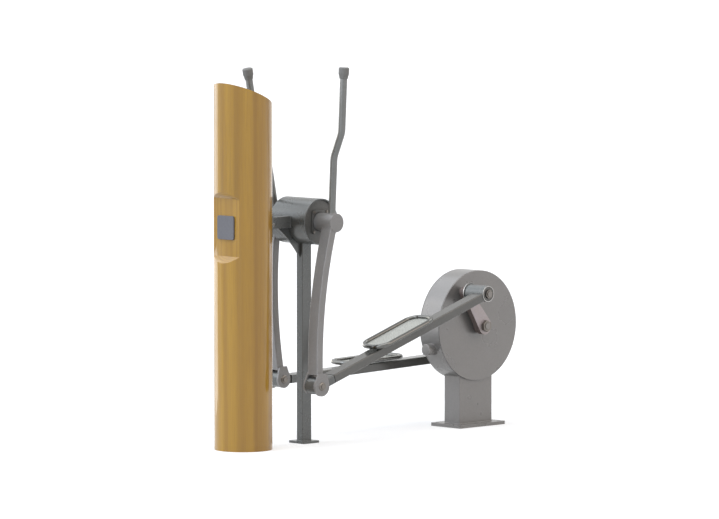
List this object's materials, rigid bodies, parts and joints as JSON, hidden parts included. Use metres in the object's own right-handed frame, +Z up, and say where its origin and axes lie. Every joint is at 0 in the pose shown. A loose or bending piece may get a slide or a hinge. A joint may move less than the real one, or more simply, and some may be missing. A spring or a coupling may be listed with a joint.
{
  "type": "outdoor elliptical trainer",
  "caption": "Outdoor elliptical trainer: swing arms with handles pivot on a slim column beside a round timber post, and pedal links run back to the cranks of a drum, for a gliding stride",
  "frame": {"origin": "on the ground, at the centre of the underside of the column's base plate", "axes": "+X along the machine from the post to the drum, +Y across it to the far side, +Z up"},
  "size_m": [1.7595, 0.566, 1.6431],
  "materials": {
    "grey_paint": "warm grey powder coat, satin",
    "bare_steel": "turned and brushed steel",
    "flywheel_iron": "dark cast iron",
    "bush_bronze": "plain bearing bronze",
    "post_timber": "glossy golden varnish, grain along the post",
    "pedal_tread": "pale, with a fine square grid",
    "cap_plastic": "matt grey moulding"
  },
  "bodies": {
    "frame": {"post": "post_timber", "post_plate": "grey_paint", "post_rods": "bare_steel", "post_saddle": "grey_paint", "beam": "grey_paint", "gusset": "grey_paint", "column": "grey_paint", "column_base": "grey_paint", "pivot_housing": "grey_paint", "housing_caps": "grey_paint", "pivot_axle": "bare_steel", "axle_nuts": "bare_steel", "pedestal": "grey_paint", "pedestal_base": "grey_paint", "drum_rim": "grey_paint", "near_drum_cover": "grey_paint", "far_drum_cover": "grey_paint", "shaft_housings": "grey_paint", "shaft_bearings": "bare_steel", "drum_boss": "grey_paint"},
    "crankshaft": {"crank_shaft": "bare_steel", "flywheel": "flywheel_iron", "near_crank": "grey_paint", "far_crank": "grey_paint", "crank_nuts": "bare_steel"},
    "near_arm": {"near_hub_tube": "grey_paint", "near_hub_bearings": "bare_steel", "near_lower_arm": "grey_paint", "near_outer_ear": "grey_paint", "near_inner_ear": "grey_paint", "near_pivot_bolt": "bare_steel", "near_handle": "grey_paint", "near_handle_cap": "cap_plastic"},
    "near_link": {"near_front_yoke": "grey_paint", "near_front_bush": "bush_bronze", "near_link_bar": "grey_paint", "near_rear_tube": "grey_paint", "near_rear_bearings": "bare_steel", "near_crank_pin": "bare_steel", "near_pin_nut": "bare_steel", "near_pedal_frame": "grey_paint", "near_pedal_plate": "pedal_tread"},
    "far_arm": {"far_hub_tube": "grey_paint", "far_hub_bearings": "bare_steel", "far_lower_arm": "grey_paint", "far_outer_ear": "grey_paint", "far_inner_ear": "grey_paint", "far_pivot_bolt": "bare_steel", "far_handle": "grey_paint", "far_handle_cap": "cap_plastic"},
    "far_link": {"far_front_yoke": "grey_paint", "far_front_bush": "bush_bronze", "far_link_bar": "grey_paint", "far_rear_tube": "grey_paint", "far_rear_bearings": "bare_steel", "far_crank_pin": "bare_steel", "far_pin_nut": "bare_steel", "far_pedal_frame": "grey_paint", "far_pedal_plate": "pedal_tread"}
  },
  "joints": [
    {"name": "crank_turn", "type": "hinge", "parent": "frame", "child": "crankshaft", "pos_m": [1.023, 0, 0.452], "axis": [0, -1, 0], "range_deg": [-8, 50]},
    {"name": "near_arm_swing", "type": "hinge", "parent": "frame", "child": "near_arm", "pos_m": [0, 0, 0.97], "axis": [0, -1, 0], "range_deg": [-11.4, 2]},
    {"name": "near_link_pivot", "type": "hinge", "parent": "near_arm", "child": "near_link", "pos_m": [-0.13232, 0, 0.27244], "axis": [0, -1, 0], "range_deg": [-0.5, 2.1]},
    {"name": "far_arm_swing", "type": "hinge", "parent": "frame", "child": "far_arm", "pos_m": [0, 0, 0.97], "axis": [0, -1, 0], "range_deg": [-1.5, 8.4]},
    {"name": "far_link_pivot", "type": "hinge", "parent": "far_arm", "child": "far_link", "pos_m": [0.04411, 0, 0.26137], "axis": [0, -1, 0], "range_deg": [-1.8, 0.5]}
  ],
  "couplings": [
    {"joint": "near_arm_swing", "follows": "crank_turn", "ratio": -0.2246},
    {"joint": "near_link_pivot", "follows": "crank_turn", "ratio": 0.0369},
    {"joint": "far_arm_swing", "follows": "crank_turn", "ratio": 0.1644},
    {"joint": "far_link_pivot", "follows": "crank_turn", "ratio": -0.0321}
  ]
}
